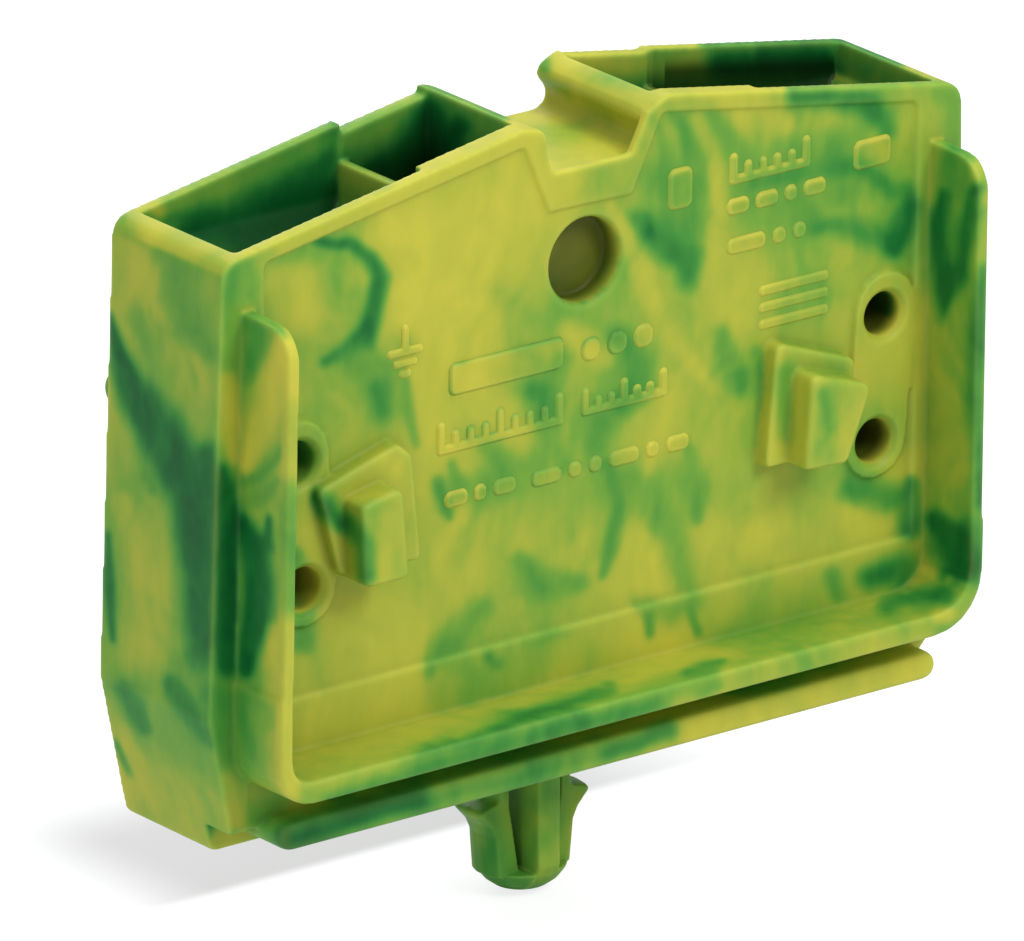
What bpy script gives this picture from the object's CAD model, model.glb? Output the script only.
"""Looks for the stackable two-conductor terminal block: marbled moulded housing, sprung clamps, current bar."""
import math

import bpy
import bmesh
import numpy as np
from mathutils import Matrix, Vector


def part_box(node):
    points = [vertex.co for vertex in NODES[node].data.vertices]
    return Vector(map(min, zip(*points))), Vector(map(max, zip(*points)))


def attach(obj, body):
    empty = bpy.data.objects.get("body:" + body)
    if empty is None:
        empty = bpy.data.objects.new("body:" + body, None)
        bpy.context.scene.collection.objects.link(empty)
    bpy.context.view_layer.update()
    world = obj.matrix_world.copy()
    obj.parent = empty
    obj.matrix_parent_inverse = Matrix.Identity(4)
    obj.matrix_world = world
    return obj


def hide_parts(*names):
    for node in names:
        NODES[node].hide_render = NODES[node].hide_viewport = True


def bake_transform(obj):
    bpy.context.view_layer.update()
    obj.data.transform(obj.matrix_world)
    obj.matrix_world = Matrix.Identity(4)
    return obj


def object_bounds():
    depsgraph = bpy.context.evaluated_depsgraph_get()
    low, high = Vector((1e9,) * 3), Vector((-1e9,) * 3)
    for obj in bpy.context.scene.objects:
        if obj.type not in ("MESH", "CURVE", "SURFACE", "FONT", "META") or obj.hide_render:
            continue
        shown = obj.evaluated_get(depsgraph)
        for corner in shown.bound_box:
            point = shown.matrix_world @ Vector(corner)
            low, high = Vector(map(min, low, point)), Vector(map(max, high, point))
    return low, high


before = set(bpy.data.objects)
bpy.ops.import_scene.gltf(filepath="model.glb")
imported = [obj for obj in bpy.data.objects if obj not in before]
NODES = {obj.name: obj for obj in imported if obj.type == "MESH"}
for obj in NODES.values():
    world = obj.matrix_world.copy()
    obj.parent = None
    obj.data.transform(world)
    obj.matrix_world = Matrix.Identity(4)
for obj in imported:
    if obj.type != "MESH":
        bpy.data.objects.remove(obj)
CAD_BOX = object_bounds()
MM = 0.001
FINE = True

# ------------------------------------------------------------------ camera of the main view
AZ, EL, ROLL = math.radians(38.264), math.radians(19.913), math.radians(0.561)
DIST, FOCAL = 608.2, 18432.0
TARGET = np.array([-3.489, -6.0, 11.287])
VIEW = np.array([math.sin(AZ) * math.cos(EL), math.cos(AZ) * math.cos(EL), -math.sin(EL)])
RIGHT0 = np.array([math.cos(AZ), -math.sin(AZ), 0.0])
UP0 = np.cross(RIGHT0, VIEW)
RIGHT = RIGHT0 * math.cos(ROLL) + UP0 * math.sin(ROLL)
UP = -RIGHT0 * math.sin(ROLL) + UP0 * math.cos(ROLL)
EYE = TARGET - VIEW * DIST


def to_view(P):
    """Points in mm -> place across and down the main view, in its own units."""
    D = P - EYE
    w = D @ VIEW
    return 512 + FOCAL * (D @ RIGHT) / w, 470.5 - FOCAL * (D @ UP) / w


def from_view(u, v, y):
    """The point of the plane at that y, in mm, seen at (u, v): returns x, z."""
    ray = VIEW + RIGHT * (u - 512) / FOCAL - UP * (v - 470.5) / FOCAL
    t = (y - EYE[1]) / ray[1]
    p = EYE + ray * t
    return float(p[0]), float(p[2])


# ------------------------------------------------------------------ smooth seeded noise, on arrays
def _hash(ix, iy, iz, seed):
    n = (ix * 73856093) ^ (iy * 19349663) ^ (iz * 83492791) ^ (seed * 362437)
    n = n & 0x7FFFFFFF
    n = (n ^ (n >> 13)) & 0x7FFFFFFF
    n = (n * (n * n * 15731 % 2147483647 + 789221) + 1376312589) & 0x7FFFFFFF
    return n / 1073741824.0 - 1.0


def vnoise(P, seed=0):
    P = np.asarray(P, float)
    i = np.floor(P).astype(np.int64)
    f = P - i
    f = f * f * f * (f * (f * 6 - 15) + 10)
    out = 0.0
    for dx in (0, 1):
        wx = f[:, 0] if dx else 1 - f[:, 0]
        for dy in (0, 1):
            wy = f[:, 1] if dy else 1 - f[:, 1]
            for dz in (0, 1):
                wz = f[:, 2] if dz else 1 - f[:, 2]
                out = out + wx * wy * wz * _hash(i[:, 0] + dx, i[:, 1] + dy, i[:, 2] + dz, seed)
    return out


def fbm(P, octaves=3, seed=0, gain=0.5):
    a, out, s = 1.0, 0.0, 1.0
    for k in range(octaves):
        out = out + a * vnoise(P * s + 17.3 * k, seed + 31 * k)
        a *= gain
        s *= 2.03
    return out


def smooth(a, b, x):
    t = np.clip((x - a) / (b - a), 0, 1)
    return t * t * (3 - 2 * t)


# ------------------------------------------------------------------ marbling
# 0 is the yellow polymer, 1 the deep green one. Soft strokes are laid over a swirled base, part by part.
# A stroke is (green, strength, softness, [(u, v, radius), ...]) across the main view.
STROKES = {
    "end": [
        (0.22, 0.8, 0.6, [(120, 250, 16), (146, 288, 20), (171, 326, 18), (192, 390, 20)]),
        (0.58, 0.9, 0.5, [(120, 221, 8), (146, 234, 12), (172, 255, 14), (182, 293, 16), (192, 326, 16), (207, 354, 10)]),
        (0.34, 0.7, 0.6, [(190, 385, 20), (200, 420, 16)]),
        (0.94, 0.97, 0.3, [(110, 312, 4), (118, 352, 9), (135, 398, 17), (156, 432, 22), (176, 466, 24), (196, 500, 24), (200, 560, 22), (203, 620, 20), (205, 652, 16)]),
        (0.90, 0.9, 0.4, [(205, 452, 10), (214, 500, 14), (214, 640, 12)]),
        (0.70, 0.7, 0.5, [(146, 474, 5), (152, 490, 4)]),
        (0.60, 0.6, 0.6, [(190, 660, 12), (212, 668, 12)]),
        (0.20, 0.85, 0.6, [(122, 500, 8), (136, 545, 20), (146, 590, 26), (140, 650, 22)]),
        (0.82, 0.9, 0.4, [(107, 537, 3), (110, 590, 5), (114, 642, 2)]),
        (0.60, 0.9, 0.5, [(118, 690, 12), (134, 706, 15), (143, 732, 7)]),
        (0.45, 0.7, 0.5, [(160, 690, 9), (164, 716, 7)]),
        (0.66, 0.9, 0.5, [(176, 692, 10), (192, 712, 13), (208, 740, 8)]),
        (0.66, 0.8, 0.5, [(210, 690, 10), (216, 735, 6)]),
        (0.72, 0.9, 0.4, [(113, 744, 3), (127, 773, 3)]),
        (0.24, 0.6, 0.7, [(140, 780, 16), (200, 800, 22)]),
        (0.42, 0.5, 0.8, [(164, 778, 14), (176, 800, 12)]),
        (0.76, 0.85, 0.45, [(124, 692, 8), (134, 712, 11), (146, 732, 6)]),
        (0.76, 0.85, 0.45, [(170, 688, 7), (186, 708, 11), (204, 728, 8), (211, 742, 4)]),
    ],
    "strip": [
        (0.60, 0.9, 0.5, [(228, 268, 12), (230, 300, 12)]),
        (0.50, 0.8, 0.6, [(232, 320, 12), (238, 360, 10)]),
        (0.10, 0.9, 0.4, [(224, 385, 12), (228, 425, 14), (234, 455, 8)]),
        (0.95, 0.97, 0.3, [(220, 470, 8), (228, 510, 18), (228, 560, 22), (227, 620, 20), (226, 660, 12)]),
        (0.58, 0.8, 0.5, [(214, 690, 10), (219, 740, 6)]),
        (0.52, 0.8, 0.5, [(238, 705, 5), (247, 752, 4)]),
        (0.18, 0.8, 0.6, [(226, 778, 8), (236, 820, 10)]),
        (0.66, 0.9, 0.5, [(222, 842, 8), (262, 834, 6)]),
        (0.52, 0.9, 0.6, [(266, 780, 18), (285, 800, 16)]),
    ],
    "skirt_out": [
        (0.66, 0.92, 0.45, [(244, 316, 9), (258, 334, 14), (254, 352, 12), (247, 380, 5)]),
        (0.06, 0.92, 0.5, [(284, 345, 9), (276, 385, 18), (262, 425, 18), (246, 462, 7)]),
        (0.34, 0.7, 0.6, [(284, 420, 7), (280, 450, 6)]),
        (0.66, 0.85, 0.35, [(240, 478, 5), (258, 474, 4), (276, 460, 3), (290, 432, 2)]),
        (0.60, 0.85, 0.5, [(244, 500, 8), (262, 496, 8), (278, 480, 4)]),
        (0.35, 0.6, 0.4, [(252, 512, 3), (268, 504, 3), (280, 492, 2)]),
        (0.95, 0.97, 0.3, [(240, 520, 12), (252, 545, 17), (257, 580, 18), (254, 620, 17), (246, 664, 9)]),
        (0.90, 0.9, 0.4, [(270, 515, 3), (268, 545, 7)]),
        (0.46, 0.8, 0.5, [(284, 500, 7), (286, 560, 8), (284, 610, 6)]),
        (0.12, 0.85, 0.5, [(276, 630, 7), (276, 690, 12)]),
        (0.60, 0.85, 0.5, [(240, 690, 6), (247, 735, 6), (250, 756, 3)]),
        (0.26, 0.7, 0.7, [(268, 720, 14), (272, 780, 14)]),
    ],
    "rim": [
        (0.0, 0.9, 0.6, [(296, 340, 12), (294, 400, 12)]),
        (0.22, 0.9, 0.6, [(292, 410, 12), (292, 455, 12)]),
        (0.60, 0.95, 0.6, [(292, 490, 14), (291, 600, 14)]),
        (0.08, 0.9, 0.6, [(288, 672, 16), (290, 780, 22)]),
    ],
    "panel": [
        (0.04, 0.95, 0.8, [(420, 240, 60), (480, 250, 70), (520, 190, 50)]),
        (0.06, 0.85, 0.8, [(450, 320, 50), (470, 400, 30), (520, 440, 14)]),
        (0.24, 0.7, 0.8, [(430, 560, 60), (360, 640, 60), (560, 530, 40)]),
        (0.55, 0.9, 0.5, [(244, 268, 9), (252, 280, 8), (248, 292, 5)]),
        (0.12, 0.8, 0.7, [(292, 282, 26), (300, 310, 24)]),
        (0.40, 0.85, 0.8, [(340, 276, 16), (350, 310, 20), (336, 336, 16)]),
        (0.42, 0.7, 0.5, [(276, 258, 5), (318, 244, 8), (352, 262, 8)]),
        (0.84, 0.97, 0.35, [(314, 239, 3), (347, 244, 6), (368, 260, 8), (379, 280, 9), (375, 302, 8), (371, 326, 9), (364, 343, 10), (346, 356, 9), (326, 364, 5)]),
        (0.90, 0.6, 0.5, [(374, 286, 4), (371, 320, 4), (372, 350, 4)]),
        (0.34, 0.6, 0.8, [(330, 400, 24), (340, 430, 16)]),
        (0.56, 0.85, 0.8, [(352, 364, 14), (378, 376, 20), (384, 405, 16)]),
        (0.80, 0.7, 0.6, [(380, 392, 9), (383, 408, 9)]),
        (0.52, 0.8, 0.6, [(402, 346, 13), (404, 350, 13)]),
        (0.60, 0.85, 0.4, [(405, 372, 4), (410, 405, 6), (419, 442, 4)]),
        (0.38, 0.75, 0.8, [(508, 298, 14), (535, 332, 14)]),
        (0.44, 0.7, 0.7, [(625, 277, 10), (614, 300, 10)]),
        (0.66, 0.9, 0.4, [(532, 392, 12), (548, 398, 16), (548, 416, 14)]),
        (0.52, 0.8, 0.6, [(553, 438, 9), (566, 462, 8)]),
        (0.68, 0.92, 0.4, [(622, 336, 12), (636, 360, 17), (640, 384, 16), (622, 400, 13)]),
        (0.60, 0.8, 0.5, [(606, 412, 10), (598, 446, 9)]),
        (0.58, 0.85, 0.45, [(446, 486, 12), (474, 490, 18), (500, 480, 14)]),
        (0.74, 0.8, 0.5, [(440, 480, 4), (446, 506, 7), (450, 516, 3)]),
        (0.66, 0.8, 0.5, [(454, 462, 4), (460, 486, 5)]),
        (0.54, 0.85, 0.7, [(618, 480, 20), (655, 498, 30), (690, 480, 22)]),
        (0.70, 0.8, 0.5, [(609, 462, 5), (620, 507, 6), (612, 552, 6), (604, 580, 3)]),
        (0.66, 0.75, 0.5, [(690, 450, 6), (700, 486, 9), (694, 520, 6)]),
        (0.60, 0.85, 0.6, [(656, 512, 14), (672, 545, 16), (684, 580, 14)]),
        (0.24, 0.85, 0.5, [(642, 545, 9), (632, 600, 8)]),
        (0.20, 0.85, 0.7, [(728, 540, 22), (716, 600, 16)]),
        (0.60, 0.88, 0.5, [(518, 556, 8), (534, 580, 16), (556, 586, 16), (582, 586, 8)]),
        (0.58, 0.85, 0.5, [(480, 604, 12), (460, 628, 14), (440, 648, 11), (430, 668, 7)]),
        (0.74, 0.85, 0.5, [(488, 653, 4), (496, 662, 5)]),
        (0.50, 0.7, 0.5, [(524, 640, 4), (566, 634, 5)]),
        (0.58, 0.85, 0.5, [(640, 606, 10), (668, 612, 14), (690, 602, 10)]),
        (0.72, 0.85, 0.4, [(648, 616, 4), (650, 632, 4)]),
        (0.72, 0.85, 0.4, [(688, 606, 3), (697, 628, 3)]),
        (0.66, 0.85, 0.5, [(296, 560, 9), (306, 600, 14), (302, 640, 10)]),
        (0.54, 0.92, 0.9, [(690, 180, 46), (780, 190, 64), (850, 170, 64), (890, 230, 50)]),
        (0.40, 0.75, 0.9, [(690, 340, 44), (740, 450, 46)]),
        (0.44, 0.8, 0.9, [(880, 420, 26), (800, 500, 36)]),
        (0.60, 0.85, 0.4, [(668, 104, 6), (684, 128, 7), (692, 158, 9)]),
        (0.56, 0.85, 0.4, [(710, 104, 7), (728, 131, 9), (744, 156, 9)]),
        (0.16, 0.88, 0.6, [(740, 112, 16), (763, 116, 20), (786, 124, 10)]),
        (0.34, 0.85, 0.6, [(812, 126, 15), (836, 120, 12)]),
        (0.80, 0.93, 0.4, [(796, 97, 9), (830, 96, 11), (862, 102, 12), (884, 118, 12), (890, 132, 8)]),
        (0.62, 0.85, 0.7, [(800, 150, 16), (826, 146, 16)]),
        (0.74, 0.9, 0.5, [(752, 178, 7), (794, 170, 9), (830, 164, 10), (856, 162, 8), (872, 172, 9), (890, 190, 9), (906, 190, 8)]),
        (0.54, 0.85, 0.7, [(790, 206, 20), (836, 196, 16)]),
        (0.40, 0.8, 0.6, [(850, 204, 8), (872, 210, 10)]),
        (0.72, 0.9, 0.5, [(812, 230, 7), (838, 224, 8), (860, 234, 11), (880, 240, 10)]),
        (0.90, 0.93, 0.4, [(890, 250, 10), (898, 230, 12), (908, 206, 10)]),
        (0.32, 0.8, 0.7, [(824, 256, 20), (852, 262, 14)]),
        (0.64, 0.9, 0.6, [(660, 176, 16), (680, 190, 22), (688, 214, 16)]),
        (0.72, 0.93, 0.4, [(634, 216, 8), (656, 228, 18), (676, 238, 24), (690, 252, 16), (688, 278, 12)]),
        (0.84, 0.8, 0.5, [(648, 228, 6), (664, 244, 12), (682, 252, 12), (686, 270, 8)]),
        (0.24, 0.9, 0.4, [(697, 118, 6), (712, 156, 8), (716, 202, 9), (722, 258, 12)]),
        (0.30, 0.85, 0.6, [(718, 270, 14), (698, 309, 14), (684, 335, 10)]),
        (0.20, 0.92, 0.4, [(612, 206, 4), (630, 240, 8), (656, 309, 10), (674, 345, 10), (708, 384, 6)]),
        (0.24, 0.85, 0.6, [(728, 296, 14), (738, 318, 10)]),
        (0.52, 0.85, 0.6, [(790, 300, 22), (816, 296, 22)]),
        (0.62, 0.85, 0.5, [(722, 336, 10), (728, 360, 14), (744, 380, 11)]),
        (0.70, 0.75, 0.5, [(744, 368, 5), (740, 384, 5)]),
        (0.66, 0.85, 0.5, [(758, 352, 6), (764, 400, 6), (758, 440, 6)]),
        (0.30, 0.85, 0.6, [(888, 280, 12), (882, 380, 14)]),
        (0.60, 0.85, 0.5, [(848, 470, 10), (864, 480, 10)]),
        (0.76, 0.9, 0.5, [(850, 490, 12), (880, 494, 18), (902, 500, 16), (904, 524, 12)]),
        (0.88, 0.85, 0.5, [(908, 480, 6), (908, 530, 7)]),
        (0.34, 0.7, 0.7, [(830, 540, 20), (780, 560, 20)]),
        (0.66, 0.9, 0.5, [(836, 574, 9), (842, 592, 7)]),
        (0.84, 0.9, 0.5, [(872, 574, 12), (904, 566, 16), (908, 592, 12)]),
        (0.14, 0.9, 0.6, [(572, 330, 12), (592, 342, 13), (606, 352, 10)]),
    ],
    "skirt_in": [
        (0.42, 0.8, 0.9, [(945, 200, 40), (945, 480, 40)]),
        (0.62, 0.8, 0.6, [(960, 155, 12), (972, 180, 9)]),
        (0.22, 0.8, 0.5, [(978, 168, 6), (984, 200, 6)]),
        (0.66, 0.95, 0.45, [(954, 148, 8), (950, 176, 11), (960, 190, 12)]),
        (0.90, 0.95, 0.35, [(944, 196, 7), (937, 222, 12), (938, 250, 12), (944, 284, 9), (938, 322, 5)]),
        (0.90, 0.95, 0.35, [(978, 190, 6), (966, 232, 11), (956, 274, 11), (940, 308, 8)]),
        (0.60, 0.6, 0.5, [(956, 222, 4), (950, 260, 4)]),
        (0.26, 0.8, 0.5, [(930, 160, 7), (926, 200, 6)]),
        (0.30, 0.85, 0.6, [(928, 300, 8), (946, 380, 14), (946, 470, 14)]),
        (0.82, 0.9, 0.5, [(984, 270, 6), (976, 330, 9), (974, 400, 8), (984, 500, 8)]),
        (0.94, 0.96, 0.35, [(930, 516, 10), (952, 540, 24), (966, 566, 20), (944, 582, 14)]),
        (0.42, 0.8, 0.5, [(948, 500, 6), (956, 512, 5)]),
        (0.45, 0.85, 0.5, [(950, 604, 8), (972, 606, 8)]),
    ],
    "floor": [
        (0.22, 0.85, 0.8, [(310, 770, 22), (360, 752, 18), (480, 706, 10), (600, 670, 6)]),
        (0.60, 0.88, 0.6, [(420, 768, 16), (560, 730, 16), (640, 706, 15), (712, 668, 12)]),
        (0.74, 0.9, 0.5, [(330, 800, 7), (420, 776, 9), (500, 754, 10), (600, 724, 10), (660, 706, 8)]),
        (0.76, 0.85, 0.5, [(424, 752, 4), (470, 742, 5), (520, 722, 7), (570, 704, 6), (610, 690, 5)]),
        (0.74, 0.85, 0.4, [(690, 668, 6), (712, 664, 7), (722, 656, 4)]),
        (0.40, 0.9, 0.8, [(760, 660, 22), (830, 640, 24), (900, 622, 18)]),
        (0.56, 0.7, 0.5, [(700, 690, 7), (720, 682, 5)]),
        (0.84, 0.9, 0.5, [(888, 604, 8), (914, 596, 9), (944, 592, 8)]),
        (0.06, 0.8, 0.6, [(946, 612, 7), (936, 614, 5)]),
        (0.56, 0.7, 0.5, [(942, 628, 6), (960, 624, 6)]),
    ],
    "rail": [
        (0.60, 0.8, 0.6, [(262, 818, 10), (276, 835, 8)]),
        (0.96, 0.95, 0.6, [(290, 838, 16), (340, 822, 18), (420, 800, 16)]),
        (0.62, 0.85, 0.6, [(450, 792, 14), (540, 768, 14), (600, 750, 14)]),
        (0.40, 0.7, 0.6, [(440, 786, 6), (520, 764, 6)]),
        (0.86, 0.9, 0.45, [(610, 752, 8), (650, 738, 11), (672, 726, 10)]),
        (0.10, 0.95, 0.4, [(698, 728, 16), (800, 702, 20), (940, 660, 22)]),
    ],
    "top": [
        (0.45, 0.8, 0.7, [(120, 215, 12), (130, 236, 10)]),
        (0.06, 0.9, 0.6, [(232, 256, 10), (300, 226, 9), (400, 180, 9), (520, 132, 12)]),
        (0.45, 0.9, 0.5, [(168, 192, 8), (250, 158, 8), (330, 122, 7)]),
        (0.80, 0.9, 0.5, [(332, 120, 5), (340, 122, 5)]),
        (0.45, 0.9, 0.5, [(344, 130, 7), (412, 98, 7)]),
        (0.68, 0.9, 0.5, [(418, 86, 6), (440, 88, 7), (500, 116, 7)]),
        (0.36, 0.9, 0.5, [(346, 168, 8), (384, 186, 8)]),
        (0.70, 0.9, 0.6, [(541, 56, 7), (546, 70, 6)]),
        (0.55, 0.8, 0.6, [(548, 84, 7), (566, 90, 8)]),
        (0.08, 0.8, 0.6, [(590, 84, 20), (640, 116, 16), (600, 150, 18)]),
        (0.18, 0.9, 0.5, [(570, 52, 6), (620, 50, 8), (690, 46, 7)]),
        (0.82, 0.95, 0.4, [(706, 46, 7), (770, 42, 8), (838, 42, 9)]),
        (0.34, 0.8, 0.6, [(590, 74, 10), (650, 72, 12)]),
        (0.42, 0.9, 0.5, [(664, 74, 9), (694, 66, 10)]),
        (0.84, 0.95, 0.4, [(836, 40, 12), (866, 54, 13), (894, 68, 10)]),
        (0.66, 0.9, 0.5, [(846, 56, 9), (880, 74, 8), (900, 80, 7)]),
        (0.34, 0.85, 0.6, [(912, 78, 7), (940, 90, 7)]),
        (0.08, 0.9, 0.6, [(664, 92, 7), (780, 92, 8)]),
        (0.66, 0.9, 0.5, [(790, 92, 5), (800, 96, 6)]),
        (0.46, 0.85, 0.6, [(810, 90, 9), (900, 88, 9), (950, 90, 8)]),
        (0.55, 0.85, 0.6, [(946, 98, 12), (956, 130, 12)]),
    ],
    "inside": [
        (0.50, 0.9, 0.9, [(200, 196, 16), (260, 172, 16), (318, 148, 14)]),
        (0.10, 0.85, 0.7, [(152, 206, 8), (164, 212, 7)]),
        (0.85, 0.9, 0.7, [(176, 220, 8), (240, 212, 14), (300, 186, 18), (326, 160, 12)]),
        (1.05, 0.95, 0.8, [(190, 236, 10), (260, 228, 16), (330, 196, 14)]),
        (0.50, 0.9, 0.7, [(346, 142, 10), (384, 126, 10)]),
        (0.95, 0.95, 0.8, [(372, 172, 10), (404, 150, 14), (420, 112, 9)]),
        (1.05, 0.95, 0.6, [(430, 104, 10), (440, 140, 16), (458, 128, 10)]),
        (0.62, 0.85, 0.6, [(468, 112, 7), (486, 122, 7)]),
        (0.34, 0.9, 0.5, [(346, 176, 8), (384, 196, 8)]),
        (0.26, 0.9, 0.6, [(580, 62, 10), (640, 62, 14)]),
        (0.36, 0.9, 0.6, [(670, 66, 12), (696, 60, 12)]),
        (1.02, 0.97, 0.5, [(726, 62, 18), (770, 64, 20), (826, 62, 16)]),
        (0.66, 0.95, 0.6, [(846, 60, 12), (880, 76, 12), (905, 88, 8)]),
    ],
    "peg": [
        (0.86, 0.92, 0.5, [(316, 490, 9), (330, 504, 12), (344, 520, 9)]),
        (0.86, 0.92, 0.45, [(350, 522, 9), (366, 545, 10), (368, 576, 8)]),
        (0.12, 0.8, 0.6, [(384, 452, 10), (398, 462, 8)]),
        (0.25, 0.8, 0.6, [(392, 520, 10), (396, 560, 10)]),
        (0.20, 0.8, 0.6, [(372, 490, 6), (388, 490, 6)]),
        (0.18, 0.8, 0.6, [(774, 356, 10), (768, 440, 8)]),
        (0.55, 0.85, 0.5, [(786, 370, 9), (782, 430, 8)]),
        (0.15, 0.8, 0.6, [(800, 380, 6), (796, 450, 6)]),
        (0.48, 0.8, 0.6, [(830, 400, 16), (828, 450, 14)]),
        (0.62, 0.85, 0.5, [(824, 395, 4), (828, 425, 5)]),
        (0.30, 0.8, 0.6, [(850, 400, 8), (846, 440, 8)]),
    ],
    "blind": [
        (0.10, 0.8, 0.8, [(560, 250, 20), (590, 262, 20)]),
        (0.30, 0.7, 0.6, [(600, 280, 8), (610, 250, 7)]),
    ],
    "foot": [
        (0.72, 0.85, 0.6, [(486, 800, 9), (492, 852, 9)]),
        (0.48, 0.8, 0.6, [(530, 800, 10), (534, 860, 10)]),
        (0.34, 0.8, 0.6, [(578, 795, 9), (570, 840, 9)]),
        (0.66, 0.7, 0.7, [(480, 862, 12), (510, 884, 12)]),
        (0.32, 0.7, 0.7, [(545, 872, 14), (560, 850, 8)]),
    ],
}
BASE = {"end": 0.34, "strip": 0.38, "skirt_out": 0.34, "rim": 0.24, "panel": 0.34, "skirt_in": 0.4, "floor": 0.38,
        "rail": 0.42, "top": 0.18, "inside": 0.62, "peg": 0.32, "foot": 0.48, "blind": 0.14}


def paint(g, u, v, strokes, wisps=0.0):
    for green, strength, soft, pts in strokes:
        soft = min(1.0, 0.35 + soft)
        best = np.zeros(len(u))
        if len(pts) == 1:
            pts = pts * 2
        for (u0, v0, r0), (u1, v1, r1) in zip(pts[:-1], pts[1:]):
            du, dv = u1 - u0, v1 - v0
            L = du * du + dv * dv
            t = np.clip(((u - u0) * du + (v - v0) * dv) / L, 0, 1) if L > 0 else np.zeros(len(u))
            d = np.hypot(u - u0 - t * du, v - v0 - t * dv) / (0.92 * (r0 + (r1 - r0) * t) + 1.0)
            best = np.maximum(best, 1 - smooth(1 - soft, 1 + soft, d))
        wave = green + wisps * 0.05
        g = g + (wave - g) * best * strength
    return g


def regions(P, N):
    x, y, z = P.T
    nx, ny, nz = N.T
    r = np.full(len(P), "", dtype="U10")
    r[:] = "other"
    ext = y < -6.04
    r[(ny < -0.5) & (y < -5.7) & (y > -6.2)] = "panel"
    r[(ny < -0.5) & (y < -5.6) & (y > -6.2) & (x < -14.6)] = "strip"
    r[(y > -6.05) & (nx < -0.6) & (x < -14.7)] = "end"
    r[ext & (nx < -0.35) & (x < -14.2)] = "skirt_out"
    r[ext & (x < -14.0) & (y < -8.2)] = "rim"
    r[ext & (x > 13.4) & (z > 4.2)] = "skirt_in"
    r[ext & (np.abs(x) < 12.2) & (z > 8.6) & (z < 14.2)] = "peg"
    r[ext & (z < 3.9) & (z > 2.2) & (x > -14.2)] = "floor"
    r[(z < 2.0) & (y < -4.7) & (np.abs(x) < 14.4) & (z > -0.05)] = "rail"
    hole = (y > -5.56) & (y < -0.38) & (np.abs(x) > 2.82) & (np.abs(x) < 14.98) & (z > 13)
    r[(z > 18.6) & (nz > 0.35) & (y > -6.1)] = "top"
    r[(z > 21.0) & (np.abs(x) < 3.2) & (ny > -0.5)] = "top"
    r[hole & (nz < 0.5)] = "inside"
    r[z < -0.05] = "foot"
    r[(np.hypot(x + 0.33, z - 17.92) < 1.55) & (y > -5.7) & (y < -4.2)] = "blind"
    return r


def ridge(x):
    return 23.15 - (np.abs(x) - 2.6) * 2.2 / 12.93


def shade_of(P, N):
    """How much light the moulding's narrow hollows lose, 0 none to 1 nearly all, P in mm."""
    x, y, z = P.T
    s = np.zeros(len(P))
    down = ridge(x) - z
    wire = (np.abs(x) > 6.4) & (np.abs(x) < 14.98) & (y > -5.56) & (y < -0.40) & (z > 13)
    slot = (np.abs(x) > 2.8) & (np.abs(x) < 6.4) & (y > -5.2) & (y < -0.5) & (z > 13)
    s = np.where(wire, np.where(x > 0, smooth(-0.2, 1.7, down), smooth(0.25, 4.4, down)), s)
    s = np.where(slot, smooth(0.1, 2.8, down), s)
    s = s * smooth(12.4, 15.0, z)
    part = (x > -7.0) & (x < -6.1) & (y > -5.2) & (y < -0.6) & (N[:, 0] < -0.3)
    s = np.where(part, 0.45 * s, s)
    s = np.where((x > 13.6) & (z > 17) & (N[:, 0] < -0.5), 0.4 * s, s)
    back = (x > 7.2) & (x < 14.5) & (z > 18) & (N[:, 1] < -0.5) & (y > -2)
    s = np.where(back, np.maximum(s, smooth(0.1, 0.9, down)), s)
    for sx in (-1, 1):
        for cx, cz in ((12.35, 13.4), (12.05, 8.95)):
            d = np.hypot(x - sx * cx, z - cz)
            s = np.where((d < 0.86) & (y < -1.8), ((0.25 if cz > 11 else 0.4) if sx < 0 else 0.92) * smooth(-5.95, -5.1, y), s)
    d = np.hypot(x + 0.33, z - 17.92)
    s = np.where((d < 1.6) & (y < -4.2), 0.85 * smooth(-5.9, -5.0, y), s)
    under = (y > -8.5) & (y < -4.5) & (z > 1.2) & (z < 2.75) & (np.abs(x) < 14.4)
    s = np.where(under, np.maximum(s, 0.30 * smooth(-6.4, -5.6, y) * smooth(1.5, 2.3, z)), s)
    return s


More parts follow.
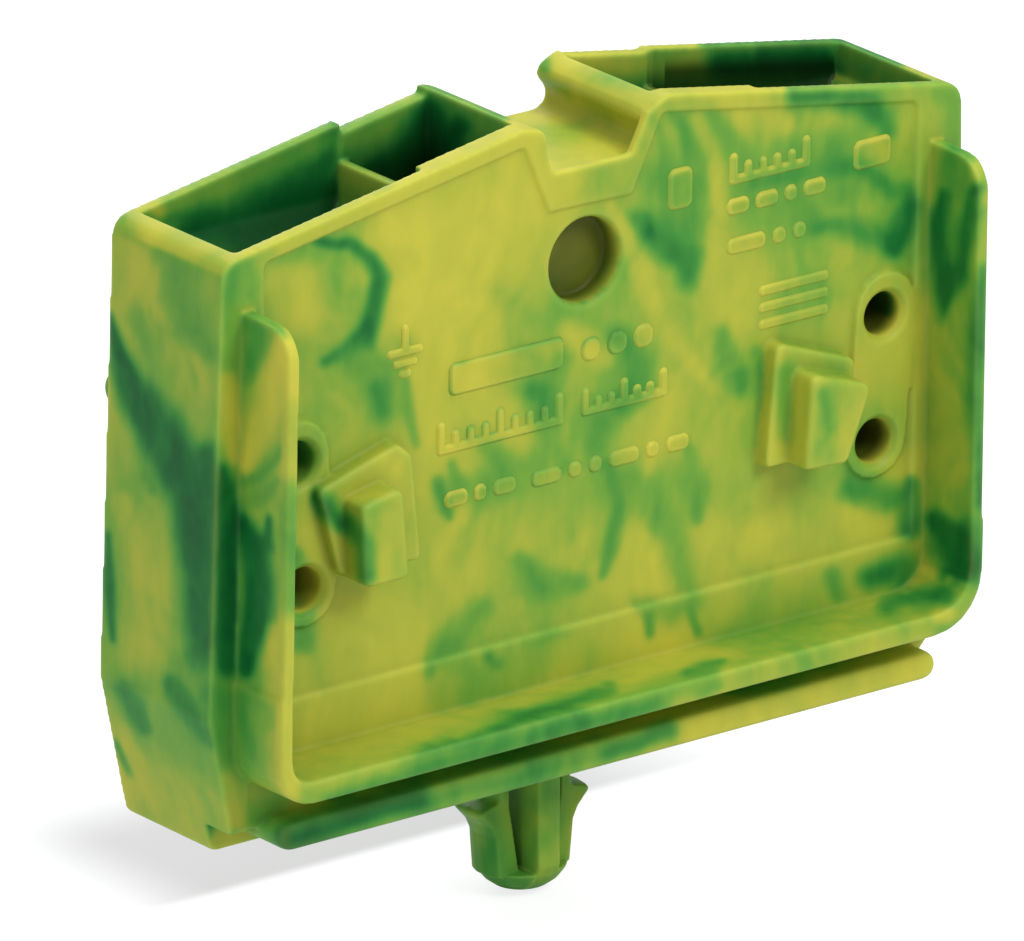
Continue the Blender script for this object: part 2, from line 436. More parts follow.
def green_of(P, N):
    """How green the moulding is at each point, P in mm."""
    big = np.stack([fbm(P / 5.0, 2, s) for s in (3, 5, 7)], 1)
    fine = np.stack([fbm(P / 1.3, 3, s) for s in (13, 15, 17)], 1)
    Q = P + 1.5 * big + 0.35 * fine
    flow = fbm(Q / np.array([3.4, 3.0, 8.0]) + 4.1, 3, 23)
    g = 0.42 + 0.75 * flow
    sharp = fbm(Q / np.array([1.7, 1.7, 5.0]) + 9.7, 2, 41)
    g = g + 0.38 * smooth(0.25, 0.75, sharp)
    streak = fbm(Q / np.array([0.55, 0.55, 2.6]), 3, 71)
    u, v = to_view(P)
    ragged = P / np.array([1.0, 1.0, 2.2])
    wu = 1.0 * fbm(ragged / 0.9, 2, 53) + 4.0 * fbm(P / 3.2, 1, 57)
    wv = 2.4 * fbm(ragged / 0.9, 2, 59) + 5.0 * fbm(P / 3.2, 1, 61)
    which = regions(P, N)
    for name, strokes in STROKES.items():
        m = which == name
        if not m.any():
            continue
        local = BASE[name] + 0.17 * flow[m]
        local = paint(local, u[m] + wu[m], v[m] + wv[m], strokes, streak[m])
        g[m] = local + 0.035 * streak[m] + 0.06 * flow[m]
    x, y, z = P.T
    deep = (np.abs(x) > 2.8) & (np.abs(x) < 15.0) & (y > -5.5) & (y < -0.45) & (z > 14) & (ridge(x) - z > 0.4)
    g = g + np.where(deep, (0.95 - g) * 0.6 * smooth(0.4, 3.0, ridge(x) - z), 0)
    g = np.where((x < -11) & (y > 0.15), 0.7 + 0.2 * flow, g)
    # the raised band along the shoulders is nearly all yellow, and so is the left partition
    drop = ridge(x) - z
    band = smooth(0.95, 0.6, drop) * (y < -5.9) * (np.abs(x) > 2.4) * (z > 18)
    pale = band * np.where(x < 0, smooth(-13.7, -12.9, x), 0.55 * smooth(8.5, 5.5, x))
    g = g + (0.08 + 0.05 * flow - g) * 0.85 * pale
    part = (x > -7.0) & (x < -6.1) & (y > -5.2) & (y < -0.6) & (drop > 0.2) & (drop < 6) & (N[:, 0] < -0.3)
    g = np.where(part, 0.12 + 0.16 * drop, g)
    return np.clip(g, -0.15, 1.15)


# ------------------------------------------------------------------ mesh helpers
def arrays(me):
    co = np.zeros(len(me.vertices) * 3)
    me.vertices.foreach_get("co", co)
    no = np.zeros(len(me.vertices) * 3)
    me.vertex_normals.foreach_get("vector", no) if hasattr(me, "vertex_normals") else me.vertices.foreach_get("normal", no)
    return co.reshape(-1, 3), no.reshape(-1, 3)


def edges_of(me):
    e = np.zeros(len(me.edges) * 2, np.int64)
    me.edges.foreach_get("vertices", e)
    return e.reshape(-1, 2)


def relax(co, e, steps, weight=0.5):
    n = len(co)
    deg = np.maximum(np.bincount(e.ravel(), minlength=n), 1)
    for _ in range(steps):
        acc = np.stack([np.bincount(e[:, 0], co[e[:, 1], k], n) + np.bincount(e[:, 1], co[e[:, 0], k], n) for k in range(3)], 1)
        m = acc / deg[:, None]
        co = co + (m - co) * (weight if np.isscalar(weight) else weight[:, None])
    return co


def write_attr(me, name, values):
    a = me.attributes.get(name) or me.attributes.new(name, "FLOAT", "POINT")
    a.data.foreach_set("value", np.asarray(values, np.float32))


def finish_mouldings(me, lighter=0.0):
    """Marbling and edge attributes on a dense moulded mesh."""
    co, no = arrays(me)
    P = co / MM
    e = edges_of(me)
    g = green_of(P, no)
    spread = int(round(0.25 / max(np.hypot(*(P[e[:500, 0]] - P[e[:500, 1]]).T[:2]).mean(), 0.02)))
    g = relax(g[:, None].repeat(3, 1), e, 2 * spread, 0.5)[:, 0]
    write_attr(me, "green", g - lighter)
    write_attr(me, "shade", shade_of(P, no))
    m = relax(P, e, 3, 1.0)
    curve = ((P - m) * no).sum(1)
    for _ in range(2):
        n = len(P)
        deg = np.maximum(np.bincount(e.ravel(), minlength=n), 1)
        curve = 0.5 * curve + 0.5 * (np.bincount(e[:, 0], curve[e[:, 1]], n) + np.bincount(e[:, 1], curve[e[:, 0]], n)) / deg
    curve = np.where((curve < 0) & (P[:, 2] > 19.5) & (P[:, 1] < -5.7), 0.3 * curve, curve)
    write_attr(me, "edge", np.clip(curve / 0.02, -1.5, 1.5))
    me.shade_smooth()


def object_from(me, name):
    o = bpy.data.objects.new(name, me)
    bpy.context.scene.collection.objects.link(o)
    return o


def applied(o, name):
    dg = bpy.context.evaluated_depsgraph_get()
    me = bpy.data.meshes.new_from_object(o.evaluated_get(dg), depsgraph=dg)
    me.name = name
    return me


def voxel(me, size_mm, name):
    o = object_from(me, name + "_src")
    m = o.modifiers.new("v", "REMESH")
    m.mode = "VOXEL"
    m.voxel_size = size_mm * MM
    m.adaptivity = 0.0
    m.use_smooth_shade = True
    out = applied(o, name)
    bpy.data.objects.remove(o)
    return out


def join_meshes(parts, name):
    bm = bmesh.new()
    for me in parts:
        bm.from_mesh(me)
    out = bpy.data.meshes.new(name)
    bm.to_mesh(out)
    bm.free()
    return out


# ------------------------------------------------------------------ materials
def nodes_of(name):
    m = bpy.data.materials.new(name)
    m.use_nodes = True
    nt = m.node_tree
    nt.nodes.clear()
    out = nt.nodes.new("ShaderNodeOutputMaterial")
    b = nt.nodes.new("ShaderNodeBsdfPrincipled")
    nt.links.new(b.outputs[0], out.inputs[0])
    return m, nt, b


def N(nt, kind, **kw):
    n = nt.nodes.new(kind)
    for k, val in kw.items():
        if k in n.inputs:
            n.inputs[k].default_value = val
        else:
            setattr(n, k, val)
    return n


def math_node(nt, op, a, b=None, c=None, clamp=False):
    n = nt.nodes.new("ShaderNodeMath")
    n.operation = op
    n.use_clamp = clamp
    for i, val in enumerate((a, b, c)):
        if val is None:
            continue
        if isinstance(val, (int, float)):
            n.inputs[i].default_value = val
        else:
            nt.links.new(val, n.inputs[i])
    return n.outputs[0]


def srgb(r, g, b):
    f = lambda c: c / 12.92 if c <= 0.04045 else ((c + 0.055) / 1.055) ** 2.4
    return (f(r / 255), f(g / 255), f(b / 255), 1)


def polyamide(name="marbled_polyamide"):
    m, nt, b = nodes_of(name)
    tc = N(nt, "ShaderNodeTexCoord")
    mp = N(nt, "ShaderNodeMapping")
    mp.inputs["Scale"].default_value = (1000, 1000, 1000)
    nt.links.new(tc.outputs["Object"], mp.inputs["Vector"])
    P = mp.outputs[0]
    green = N(nt, "ShaderNodeAttribute", attribute_name="green")
    edge = N(nt, "ShaderNodeAttribute", attribute_name="edge")
    # fine cloudiness and streaks inside the marbling
    stretch = N(nt, "ShaderNodeMapping")
    stretch.inputs["Scale"].default_value = (1.0, 1.0, 0.35)
    nt.links.new(P, stretch.inputs["Vector"])
    n1 = N(nt, "ShaderNodeTexNoise", Scale=1.1, Detail=4.0, Roughness=0.55, Distortion=0.6)
    nt.links.new(stretch.outputs[0], n1.inputs["Vector"])
    n2 = N(nt, "ShaderNodeTexNoise", Scale=3.2, Detail=3.0, Roughness=0.6)
    nt.links.new(stretch.outputs[0], n2.inputs["Vector"])
    w1 = math_node(nt, "MULTIPLY_ADD", n1.outputs[0], 0.15, -0.075)
    w2 = math_node(nt, "MULTIPLY_ADD", n2.outputs[0], 0.06, -0.03)
    g = math_node(nt, "ADD", math_node(nt, "ADD", green.outputs["Fac"], w1), w2, clamp=True)
    ramp = N(nt, "ShaderNodeValToRGB")
    cr = ramp.color_ramp
    cr.interpolation = "LINEAR"
    stops = [(0.0, (184, 180, 60)), (0.22, (160, 168, 56)), (0.45, (108, 154, 54)), (0.68, (60, 134, 52)), (0.86, (24, 106, 44)), (1.0, (8, 86, 36))]
    while len(cr.elements) < len(stops):
        cr.elements.new(0.5)
    for el, (p, c) in zip(cr.elements, stops):
        el.position = p
        el.color = srgb(*c)
    nt.links.new(g, ramp.inputs[0])
    # thin outer edges let more light through, hollows hold less
    lift = N(nt, "ShaderNodeMix", data_type="RGBA", blend_type="MIX")
    up = math_node(nt, "MULTIPLY", edge.outputs["Fac"], 0.38, clamp=True)
    nt.links.new(up, lift.inputs[0])
    nt.links.new(ramp.outputs[0], lift.inputs[6])
    bright = N(nt, "ShaderNodeMix", data_type="RGBA", blend_type="SCREEN")
    bright.inputs[0].default_value = 1.0
    nt.links.new(ramp.outputs[0], bright.inputs[6])
    bright.inputs[7].default_value = srgb(120, 124, 60)
    nt.links.new(bright.outputs[2], lift.inputs[7])
    dark = N(nt, "ShaderNodeMix", data_type="RGBA", blend_type="MULTIPLY")
    down = math_node(nt, "MULTIPLY", edge.outputs["Fac"], -0.35, clamp=True)
    nt.links.new(down, dark.inputs[0])
    nt.links.new(lift.outputs[2], dark.inputs[6])
    dark.inputs[7].default_value = (0.25, 0.33, 0.2, 1)
    hollow = N(nt, "ShaderNodeMix", data_type="RGBA", blend_type="MULTIPLY")
    shade = N(nt, "ShaderNodeAttribute", attribute_name="shade")
    nt.links.new(math_node(nt, "MULTIPLY", shade.outputs["Fac"], 0.94, clamp=True), hollow.inputs[0])
    nt.links.new(dark.outputs[2], hollow.inputs[6])
    hollow.inputs[7].default_value = (0.05, 0.09, 0.045, 1)
    nt.links.new(hollow.outputs[2], b.inputs["Base Color"])
    # faint flow lines and texture of the tool in the surface
    n3 = N(nt, "ShaderNodeTexNoise", Scale=7.0, Detail=5.0, Roughness=0.6)
    nt.links.new(P, n3.inputs["Vector"])
    n4 = N(nt, "ShaderNodeTexNoise", Scale=0.7, Detail=2.0, Roughness=0.5)
    nt.links.new(stretch.outputs[0], n4.inputs["Vector"])
    rough = math_node(nt, "MULTIPLY_ADD", n3.outputs[0], 0.16, 0.33)
    rough = math_node(nt, "MULTIPLY_ADD", n4.outputs[0], 0.10, rough)
    rough = math_node(nt, "MULTIPLY_ADD", g, -0.06, rough)
    nt.links.new(rough, b.inputs["Roughness"])
    h = math_node(nt, "MULTIPLY_ADD", n3.outputs[0], 0.35, math_node(nt, "MULTIPLY", n4.outputs[0], 1.0))
    bump = N(nt, "ShaderNodeBump", Strength=0.14)
    bump.inputs["Distance"].default_value = 0.00006
    nt.links.new(h, bump.inputs["Height"])
    nt.links.new(bump.outputs[0], b.inputs["Normal"])
    b.inputs["IOR"].default_value = 1.5
    b.inputs["Specular IOR Level"].default_value = 0.13
    b.inputs["Subsurface Weight"].default_value = 0.08
    b.inputs["Subsurface Radius"].default_value = (0.6, 1.0, 0.25)
    b.inputs["Subsurface Scale"].default_value = 0.0005
    m.diffuse_color = srgb(142, 169, 60)
    return m


def metal(name, base, dark, rough, streak_axis, bump_k=0.25):
    m, nt, b = nodes_of(name)
    tc = N(nt, "ShaderNodeTexCoord")
    mp = N(nt, "ShaderNodeMapping")
    mp.inputs["Scale"].default_value = streak_axis
    nt.links.new(tc.outputs["Object"], mp.inputs["Vector"])
    n = N(nt, "ShaderNodeTexNoise", Scale=1.0, Detail=6.0, Roughness=0.65)
    nt.links.new(mp.outputs[0], n.inputs["Vector"])
    cl = N(nt, "ShaderNodeTexNoise", Scale=900.0, Detail=3.0, Roughness=0.5)
    nt.links.new(tc.outputs["Object"], cl.inputs["Vector"])
    mix = N(nt, "ShaderNodeMix", data_type="RGBA")
    nt.links.new(cl.outputs[0], mix.inputs[0])
    mix.inputs[6].default_value = dark
    mix.inputs[7].default_value = base
    nt.links.new(mix.outputs[2], b.inputs["Base Color"])
    b.inputs["Metallic"].default_value = 1.0
    r = math_node(nt, "MULTIPLY_ADD", n.outputs[0], 0.22, rough - 0.11)
    r = math_node(nt, "MULTIPLY_ADD", cl.outputs[0], 0.12, r)
    nt.links.new(r, b.inputs["Roughness"])
    bump = N(nt, "ShaderNodeBump", Strength=bump_k)
    bump.inputs["Distance"].default_value = 0.00002
    nt.links.new(n.outputs[0], bump.inputs["Height"])
    nt.links.new(bump.outputs[0], b.inputs["Normal"])
    m.diffuse_color = base
    return m


POLY = polyamide()
STEEL = metal("spring_steel", srgb(206, 208, 210), srgb(176, 180, 184), 0.24, (900, 14000, 900))
TIN = metal("tinned_copper", srgb(222, 219, 210), srgb(186, 178, 162), 0.34, (1500, 9000, 1500), 0.35)

# ------------------------------------------------------------------ housing
cad = NODES["housing"].data
src = cad.copy()
src.materials.clear()


def clipped(me, cuts, name):
    """The part of a closed mesh behind each plane (point in mm, normal), closed again."""
    bm = bmesh.new()
    bm.from_mesh(me)
    bmesh.ops.remove_doubles(bm, verts=bm.verts, dist=1e-7)
    for point, normal in cuts:
        geom = bm.verts[:] + bm.edges[:] + bm.faces[:]
        res = bmesh.ops.bisect_plane(bm, geom=geom, plane_co=Vector(point) * MM, plane_no=Vector(normal), clear_outer=True, dist=1e-8)
        rim_edges = [g for g in res["geom_cut"] if isinstance(g, bmesh.types.BMEdge)]
        if rim_edges:
            bmesh.ops.triangle_fill(bm, use_beauty=True, use_dissolve=False, edges=rim_edges)
    bmesh.ops.recalc_face_normals(bm, faces=bm.faces[:])
    out = bpy.data.meshes.new(name)
    bm.to_mesh(out)
    bm.free()
    return out


foot_src = clipped(src, [((0, 0, 0.15), (0, 0, 1)), ((2.6, 0, 0), (1, 0, 0)), ((-2.6, 0, 0), (-1, 0, 0))], "foot_src")
src = clipped(src, [((0, 0, -0.04), (0, 0, -1))], "housing_src")
size = 0.07 if FINE else 0.15
me = voxel(src, size, "housing_moulding")
co, no = arrays(me)
e = edges_of(me)
P = co / MM
# the rim's free edge is rounder than the rest of the moulding
w = 0.5 * np.ones(len(P))
P = relax(P, e, 5 if FINE else 1, w)
rim = smooth(-7.9, -8.3, P[:, 1])
P = relax(P, e, 10 if FINE else 3, 0.5 * rim)
me.vertices.foreach_set("co", (P * MM).ravel())
me.update()
finish_mouldings(me)
housing = object_from(me, "housing_moulding")
me.materials.append(POLY)
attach(housing, "block")
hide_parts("housing")

# ------------------------------------------------------------------ snap foot: one moulding, arms bend at their roots
def lowered(me, below, by, name):
    out = me.copy()
    out.materials.clear()
    c, _ = arrays(out)
    c[c[:, 2] < below * MM, 2] -= by * MM
    out.vertices.foreach_set("co", c.ravel())
    out.update()
    bm = bmesh.new()
    bm.from_mesh(out)
    bmesh.ops.remove_doubles(bm, verts=bm.verts, dist=1e-7)
    bm.to_mesh(out)
    bm.free()
    return out


barb_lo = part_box("right_foot_barb")[0].z / MM
whole = join_meshes([foot_src, lowered(NODES["right_foot_barb"].data, barb_lo + 0.05, 0.3, "rb"),
                     lowered(NODES["left_foot_barb"].data, barb_lo + 0.05, 0.3, "lb")], "foot_all")
whole = voxel(whole, 0.045 if FINE else 0.08, "foot_voxel")
c, _ = arrays(whole)
c = relax(c / MM, edges_of(whole), 3, 0.5)
c[:, 0] = c[:, 0] * (1 + 0.05 * smooth(0.1, -0.6, c[:, 2])) - 0.05 * smooth(0.1, -0.6, c[:, 2])
c[:, 2] -= 0.13 * smooth(-2.5, -4.6, c[:, 2])
whole.vertices.foreach_set("co", (c * MM).ravel())
whole.update()
SPLIT = 0.53
for name, cuts, body, node in (
    ("snap_foot_web", [((SPLIT, 0, 0), (1, 0, 0)), ((-SPLIT, 0, 0), (-1, 0, 0))], None, None),
    ("right_snap_arm", [((SPLIT, 0, 0), (-1, 0, 0))], "right_barb", "right_foot_barb"),
    ("left_snap_arm", [((-SPLIT, 0, 0), (1, 0, 0))], "left_barb", "left_foot_barb"),
):
    pm = clipped(whole, cuts, name)
    pm.update()
    finish_mouldings(pm)
    pm.materials.append(POLY)
    po = object_from(pm, name)
    if body:
        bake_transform(po)
        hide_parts(node)
    else:
        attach(po, "block")


# ------------------------------------------------------------------ sheet metal
def sweep(path, t, y0, y1, name, edge=0.07):
    """Strip of thickness t along a path of (x, z), with rounded long edges, closed at both ends."""
    prof = []
    r = min(edge, t * 0.45)
    for cy, cn, a0 in ((y1 - r, t / 2 - r, 0), (y0 + r, t / 2 - r, 90), (y0 + r, -t / 2 + r, 180), (y1 - r, -t / 2 + r, 270)):
        for k in range(4):
            a = math.radians(a0 + 30 * k)
            prof.append((cy + r * math.cos(a), cn + r * math.sin(a)))
    bm = bmesh.new()
    rings = []
    n = len(path)
    for i in range(n):
        a, b = np.array(path[max(0, i - 1)]), np.array(path[min(n - 1, i + 1)])
        d = (b - a) / np.hypot(*(b - a))
        if 0 < i < n - 1:
            d1 = np.array(path[i]) - a
            k = 1 / max(0.7, abs(d @ (d1 / np.hypot(*d1))))
        else:
            k = 1
        nx, nz = -d[1] * k, d[0] * k
        rings.append([bm.verts.new(((path[i][0] + nx * m) * MM, cy * MM, (path[i][1] + nz * m) * MM)) for cy, m in prof])
    for A, B in zip(rings[:-1], rings[1:]):
        for k in range(len(prof)):
            bm.faces.new((A[k], A[(k + 1) % len(prof)], B[(k + 1) % len(prof)], B[k]))
    bm.faces.new(rings[0][::-1])
    bm.faces.new(rings[-1])
    bmesh.ops.recalc_face_normals(bm, faces=bm.faces[:])
    me = bpy.data.meshes.new(name)
    bm.to_mesh(me)
    bm.free()
    me.shade_smooth()
    return me


def arc(cx, cz, r, a0, a1, n):
    return [(cx + r * math.cos(math.radians(a0 + (a1 - a0) * i / n)), cz + r * math.sin(math.radians(a0 + (a1 - a0) * i / n))) for i in range(n + 1)]


def side(path, s):
    return [(s * x, z) for x, z in path]


Y0, Y1 = -4.85, -2.35
T, LX, LZ, LR = 0.3, 4.6, 7.2, 1.75
for s_, tag in ((1, "right"), (-1, "left")):
    legx = LX + LR
    support = [sweep(side([(legx, 6.9), (legx, 9.4)], s_), T, Y0, Y1, "a"),
               sweep(side([(legx, 9.2), (legx, 13.1)], s_), T, Y0 + 0.5, Y1 - 0.5, "b")]
    sm = voxel(join_meshes(support, "s"), 0.035 if FINE else 0.06, tag + "_spring_support")
    sm.materials.append(STEEL)
    so = object_from(sm, tag + "_spring_support")
    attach(so, "block")
    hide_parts(tag + "_clamp_spring")
    lm = sweep(side(arc(LX, LZ, LR, 6, -186, 64), s_), T, Y0, Y1, tag + "_spring_loop")
    lm.materials.append(STEEL)
    lo_ = object_from(lm, tag + "_spring_loop")
    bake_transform(lo_)
    leg = [(LX - LR, 7.2), (LX - LR - 0.01, 8.4), (LX - LR - 0.07, 11.0)] + arc(3.68, 11.72, 0.88, 176, 94, 12) + [(3.92, 12.61)]
    rail = [(3.7, 12.60), (5.6, 12.62), (7.9, 12.62)]
    parts = [sweep(side(leg, s_), T, Y0, Y1, "a"), sweep(side(rail, s_), T, Y0, Y0 + 0.40, "b"), sweep(side(rail, s_), T, Y1 - 0.40, Y1, "c"),
             sweep(side([(7.5, 12.62), (8.25, 12.62)], s_), T, Y0, Y1, "d")]
    wm = voxel(join_meshes(parts, "w"), 0.035 if FINE else 0.06, tag + "_window_leg")
    wm.materials.append(STEEL)
    wo = object_from(wm, tag + "_window_leg")
    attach(wo, tag + "_clamp")
    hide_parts(tag + "_clamp_leg")

bar_src = NODES["current_bar"].data.copy()
bar_src.materials.clear()
bm = bmesh.new()
bm.from_mesh(bar_src)
bmesh.ops.remove_doubles(bm, verts=bm.verts, dist=1e-7)
bm.to_mesh(bar_src)
bm.free()
barm = voxel(bar_src, 0.06 if FINE else 0.1, "current_bar_strip")
c, _ = arrays(barm)
c = relax(c / MM, edges_of(barm), 2, 0.5)
barm.vertices.foreach_set("co", (c * MM).ravel())
barm.update()
barm.materials.append(TIN)
baro = object_from(barm, "current_bar_strip")
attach(baro, "block")
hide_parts("current_bar")


# ------------------------------------------------------------------ plain moulded relief on the front panel
PANEL_Y = -5.84


def rbox(X, Z, cx, cz, w, h, r, tilt=0.0):
    a = math.radians(tilt)
    x = (X - cx) * math.cos(a) + (Z - cz) * math.sin(a)
    z = -(X - cx) * math.sin(a) + (Z - cz) * math.cos(a)
    qx, qz = np.abs(x) - w / 2 + r, np.abs(z) - h / 2 + r
    return np.hypot(np.maximum(qx, 0), np.maximum(qz, 0)) + np.minimum(np.maximum(qx, qz), 0) - r


MARKS = []          # each: list of rounded boxes (cx, cz, w, h, r, tilt), raised by


def mark(boxes, raised=0.085):
    MARKS.append((boxes, raised))


def at(u, v):
    return from_view(u, v, PANEL_Y)


B = 0.27            # width of a raised stroke


def row(u, v, lengths, gap=0.34, height=B, raised=0.11):
    """A line of plain bars along the block, centred at that place."""
    cx, cz = at(u, v)
    x = cx - (sum(lengths) + gap * (len(lengths) - 1)) / 2
    boxes = []
    for w_ in lengths:
        boxes.append((x + w_ / 2, cz, w_, height, min(height, w_) * 0.45, 0))
        x += w_ + gap
    mark(boxes, raised)


def ticks(u, v, count, pitch, tall, short, every, base=True):
    cx, cz = at(u, v)
    x0 = cx - pitch * (count - 1) / 2
    boxes = [(cx, cz - tall / 2, pitch * (count - 1) + B, B, B * 0.45, 0)] if base else []
    for k in range(count):
        h = tall if k % every == 0 else short
        boxes.append((x0 + pitch * k, cz - tall / 2 + h / 2, B, h, B * 0.45, 0))
    mark(boxes, 0.11)


# earth symbol: stem and three bars
ex, ez = at(405, 350)
mark([(ex, ez + 0.38, 0.24, 0.95, 0.11, 0), (ex, ez - 0.06, 1.45, 0.24, 0.11, 0), (ex, ez - 0.44, 0.95, 0.24, 0.11, 0), (ex, ez - 0.82, 0.45, 0.24, 0.11, 0)], 0.10)
# blank plate and a short pair
px_, pz_ = at(506, 366)
mark([(px_, pz_, 4.7, 1.05, 0.2, 0)], 0.13)
row(617, 342, (0.75, 0.75, 0.75), 0.36, 0.75)
# strip-length gauge
ticks(500, 422, 9, 0.62, 0.95, 0.6, 4)
ticks(624, 390, 7, 0.55, 0.8, 0.45, 3)
# two rows of bars
row(480, 492, (0.9, 0.45, 0.9), 0.34, 0.5)
row(610, 460, (1.2, 0.5, 0.5, 1.2, 0.5, 0.9), 0.36, 0.5)
# right-hand group
ax, az = at(680, 188)
mark([(ax, az, 0.95, 1.35, 0.25, 0)], 0.12)
ticks(770, 158, 6, 0.62, 0.9, 0.55, 5)
row(776, 196, (0.9, 0.9, 0.45, 0.9), 0.34, 0.5)
row(766, 238, (1.6, 0.5, 0.5), 0.36, 0.5)
sx_, sz_ = at(872, 152)
mark([(sx_, sz_, 1.5, 0.95, 0.22, 0)], 0.12)
wx, wz = at(797, 299)
mark([(wx - 0.15, wz + 0.60, 2.9, 0.3, 0.13, 0), (wx - 0.15, wz, 2.9, 0.3, 0.13, 0), (wx - 0.15, wz - 0.60, 2.9, 0.3, 0.13, 0)], 0.10)

verts, faces = [], []
step = 0.045 if FINE else 0.08
for boxes, raised in MARKS:
    if boxes:
        m_ = 0.16
        xs = np.arange(min(q[0] - q[2] / 2 for q in boxes) - m_, max(q[0] + q[2] / 2 for q in boxes) + m_ + step, step)
        zs = np.arange(min(q[1] - q[3] / 2 for q in boxes) - m_, max(q[1] + q[3] / 2 for q in boxes) + m_ + step, step)
        X, Z = np.meshgrid(xs, zs, indexing="ij")
        d = np.min([rbox(X, Z, *o_) for o_ in boxes], axis=0)
        H = raised * smooth(0.07, -0.05, d)
        base_i = len(verts)
        inside = d < 0.09
        idx = -np.ones(X.shape, int)
        keep = np.zeros(X.shape, bool)
        cell = inside[:-1, :-1] & inside[1:, :-1] & inside[:-1, 1:] & inside[1:, 1:]
        keep[:-1, :-1] |= cell
        keep[1:, :-1] |= cell
        keep[:-1, 1:] |= cell
        keep[1:, 1:] |= cell
        ids = np.argwhere(keep)
        idx[keep] = base_i + np.arange(len(ids))
        verts += [(X[i_, j_] * MM, (PANEL_Y + 0.02 - H[i_, j_]) * MM, Z[i_, j_] * MM) for i_, j_ in ids]
        faces += [(int(idx[i_, j_]), int(idx[i_ + 1, j_]), int(idx[i_ + 1, j_ + 1]), int(idx[i_, j_ + 1])) for i_, j_ in np.argwhere(cell)]
rm = bpy.data.meshes.new("front_relief")
rm.from_pydata(verts, [], faces)
rm.update()
rs = object_from(rm, "front_relief_src")
md = rs.modifiers.new("t", "SOLIDIFY")
md.thickness = 0.05 * MM
md.offset = -1.0
rm2 = applied(rs, "front_relief")
bpy.data.objects.remove(rs)
finish_mouldings(rm2, 0.10)
rm2.materials.append(POLY)
ro = object_from(rm2, "front_relief")
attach(ro, "block")

# ------------------------------------------------------------------ floor, light, camera
lo, hi = CAD_BOX
FLOOR_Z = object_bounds()[0][2] - 0.00001
bpy.ops.mesh.primitive_plane_add(size=6.0, location=(0, 0, FLOOR_Z))
floor = bpy.context.object
floor.name = "floor"
fm, nt, b = nodes_of("pale_floor")
tc = N(nt, "ShaderNodeTexCoord")
fn = N(nt, "ShaderNodeTexNoise", Scale=30.0, Detail=2.0)
nt.links.new(tc.outputs["Object"], fn.inputs["Vector"])
nt.links.new(math_node(nt, "MULTIPLY_ADD", fn.outputs[0], 0.1, 0.6), b.inputs["Roughness"])
b.inputs["Specular IOR Level"].default_value = 0.05
lp = N(nt, "ShaderNodeLightPath")
seen = lp.outputs["Is Camera Ray"]
pale = N(nt, "ShaderNodeMix", data_type="RGBA")
nt.links.new(seen, pale.inputs[0])
pale.inputs[6].default_value = (0.80, 0.80, 0.80, 1)
pale.inputs[7].default_value = (0.30, 0.30, 0.30, 1)
nt.links.new(pale.outputs[2], b.inputs["Base Color"])
# soft shade the block throws on the floor behind its foot
xyz = N(nt, "ShaderNodeSeparateXYZ")
nt.links.new(tc.outputs["Object"], xyz.inputs[0])


def soft_step(value, a, c):
    n = N(nt, "ShaderNodeMapRange")
    n.interpolation_type = "SMOOTHSTEP"
    nt.links.new(value, n.inputs["Value"])
    n.inputs["From Min"].default_value = a * MM
    n.inputs["From Max"].default_value = c * MM
    return n.outputs[0]


def on_floor(u, v):
    ray = VIEW + RIGHT * (u - 512) / FOCAL - UP * (v - 470.5) / FOCAL
    return EYE + ray * (FLOOR_Z / MM - EYE[2]) / ray[2]


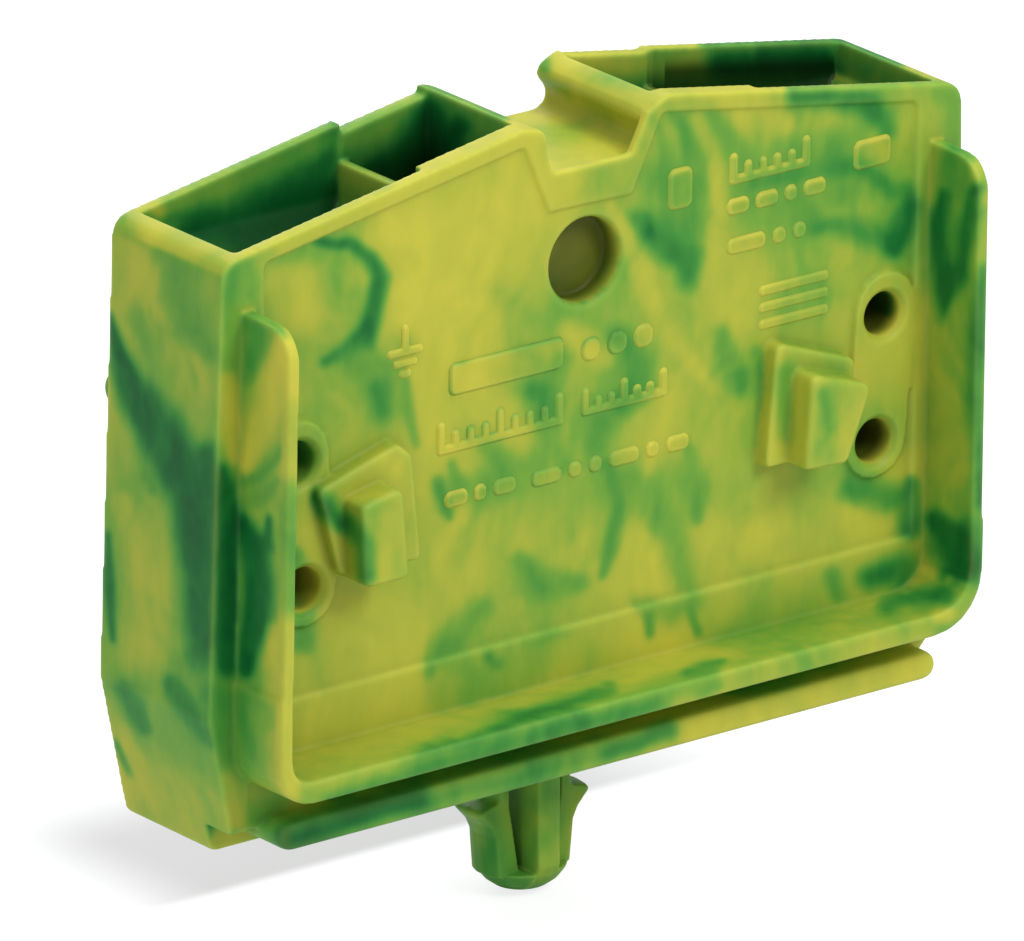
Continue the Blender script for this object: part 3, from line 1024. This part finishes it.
corner, back = on_floor(167, 907), on_floor(20, 825)
sx0, sy0, sy1 = float(corner[0]), float(corner[1]), float(back[1])
near = soft_step(xyz.outputs[1], sy0 - 0.35, sy0 + 0.55)
far = soft_step(xyz.outputs[1], sy1 + 2.0, sy1 - 3.5)
left = soft_step(xyz.outputs[0], sx0 - 2.2, sx0 + 2.6)
right = soft_step(xyz.outputs[0], sx0 + 27.0, sx0 + 15.0)
cast = math_node(nt, "MULTIPLY", math_node(nt, "MULTIPLY", near, far), math_node(nt, "MULTIPLY", left, right))
glow = math_node(nt, "MULTIPLY_ADD", cast, -0.36, 0.80)
b.inputs["Emission Color"].default_value = (0.985, 0.99, 1, 1)
nt.links.new(math_node(nt, "MULTIPLY", seen, glow), b.inputs["Emission Strength"])
floor.data.materials.append(fm)

scene = bpy.context.scene
world = scene.world or bpy.data.worlds.new("World")
scene.world = world
world.use_nodes = True
bg = world.node_tree.nodes.get("Background")
bg.inputs[0].default_value = (1.0, 1.0, 1.0, 1)
wt = world.node_tree
wt.links.new(math_node(wt, "MULTIPLY_ADD", N(wt, "ShaderNodeLightPath").outputs["Is Camera Ray"], 0.50, 0.46), bg.inputs[1])


def area(name, place, look, size, power, color=(1, 1, 1)):
    d = bpy.data.lights.new(name, "AREA")
    d.shape = "RECTANGLE"
    d.size, d.size_y = size
    d.energy = power
    d.color = color
    o = bpy.data.objects.new(name, d)
    scene.collection.objects.link(o)
    o.location = place
    o.rotation_euler = (Vector(look) - Vector(place)).to_track_quat("-Z", "Y").to_euler()
    return o


mid = (0, -0.003, 0.010)
area("key", (0.05, -0.20, 0.20), mid, (0.12, 0.10), 0.44)
area("top", (0.02, 0.02, 0.26), mid, (0.22, 0.16), 0.36)
area("end", (-0.24, -0.08, 0.09), mid, (0.10, 0.16), 0.14)
area("back", (0.08, 0.24, 0.12), mid, (0.16, 0.12), 0.18)

cam_data = bpy.data.cameras.new("camera")
cam_data.sensor_width = 36.0
cam_data.lens = FOCAL * 36.0 / 1024.0
cam_data.clip_start, cam_data.clip_end = 0.01, 20
cam = bpy.data.objects.new("camera", cam_data)
scene.collection.objects.link(cam)
rot = Matrix((tuple(RIGHT), tuple(UP), tuple(-VIEW))).transposed()
cam.matrix_world = Matrix.Translation(Vector(EYE * MM)) @ rot.to_4x4()
scene.camera = cam
scene.view_settings.view_transform = "Standard"
scene.view_settings.look = "None"
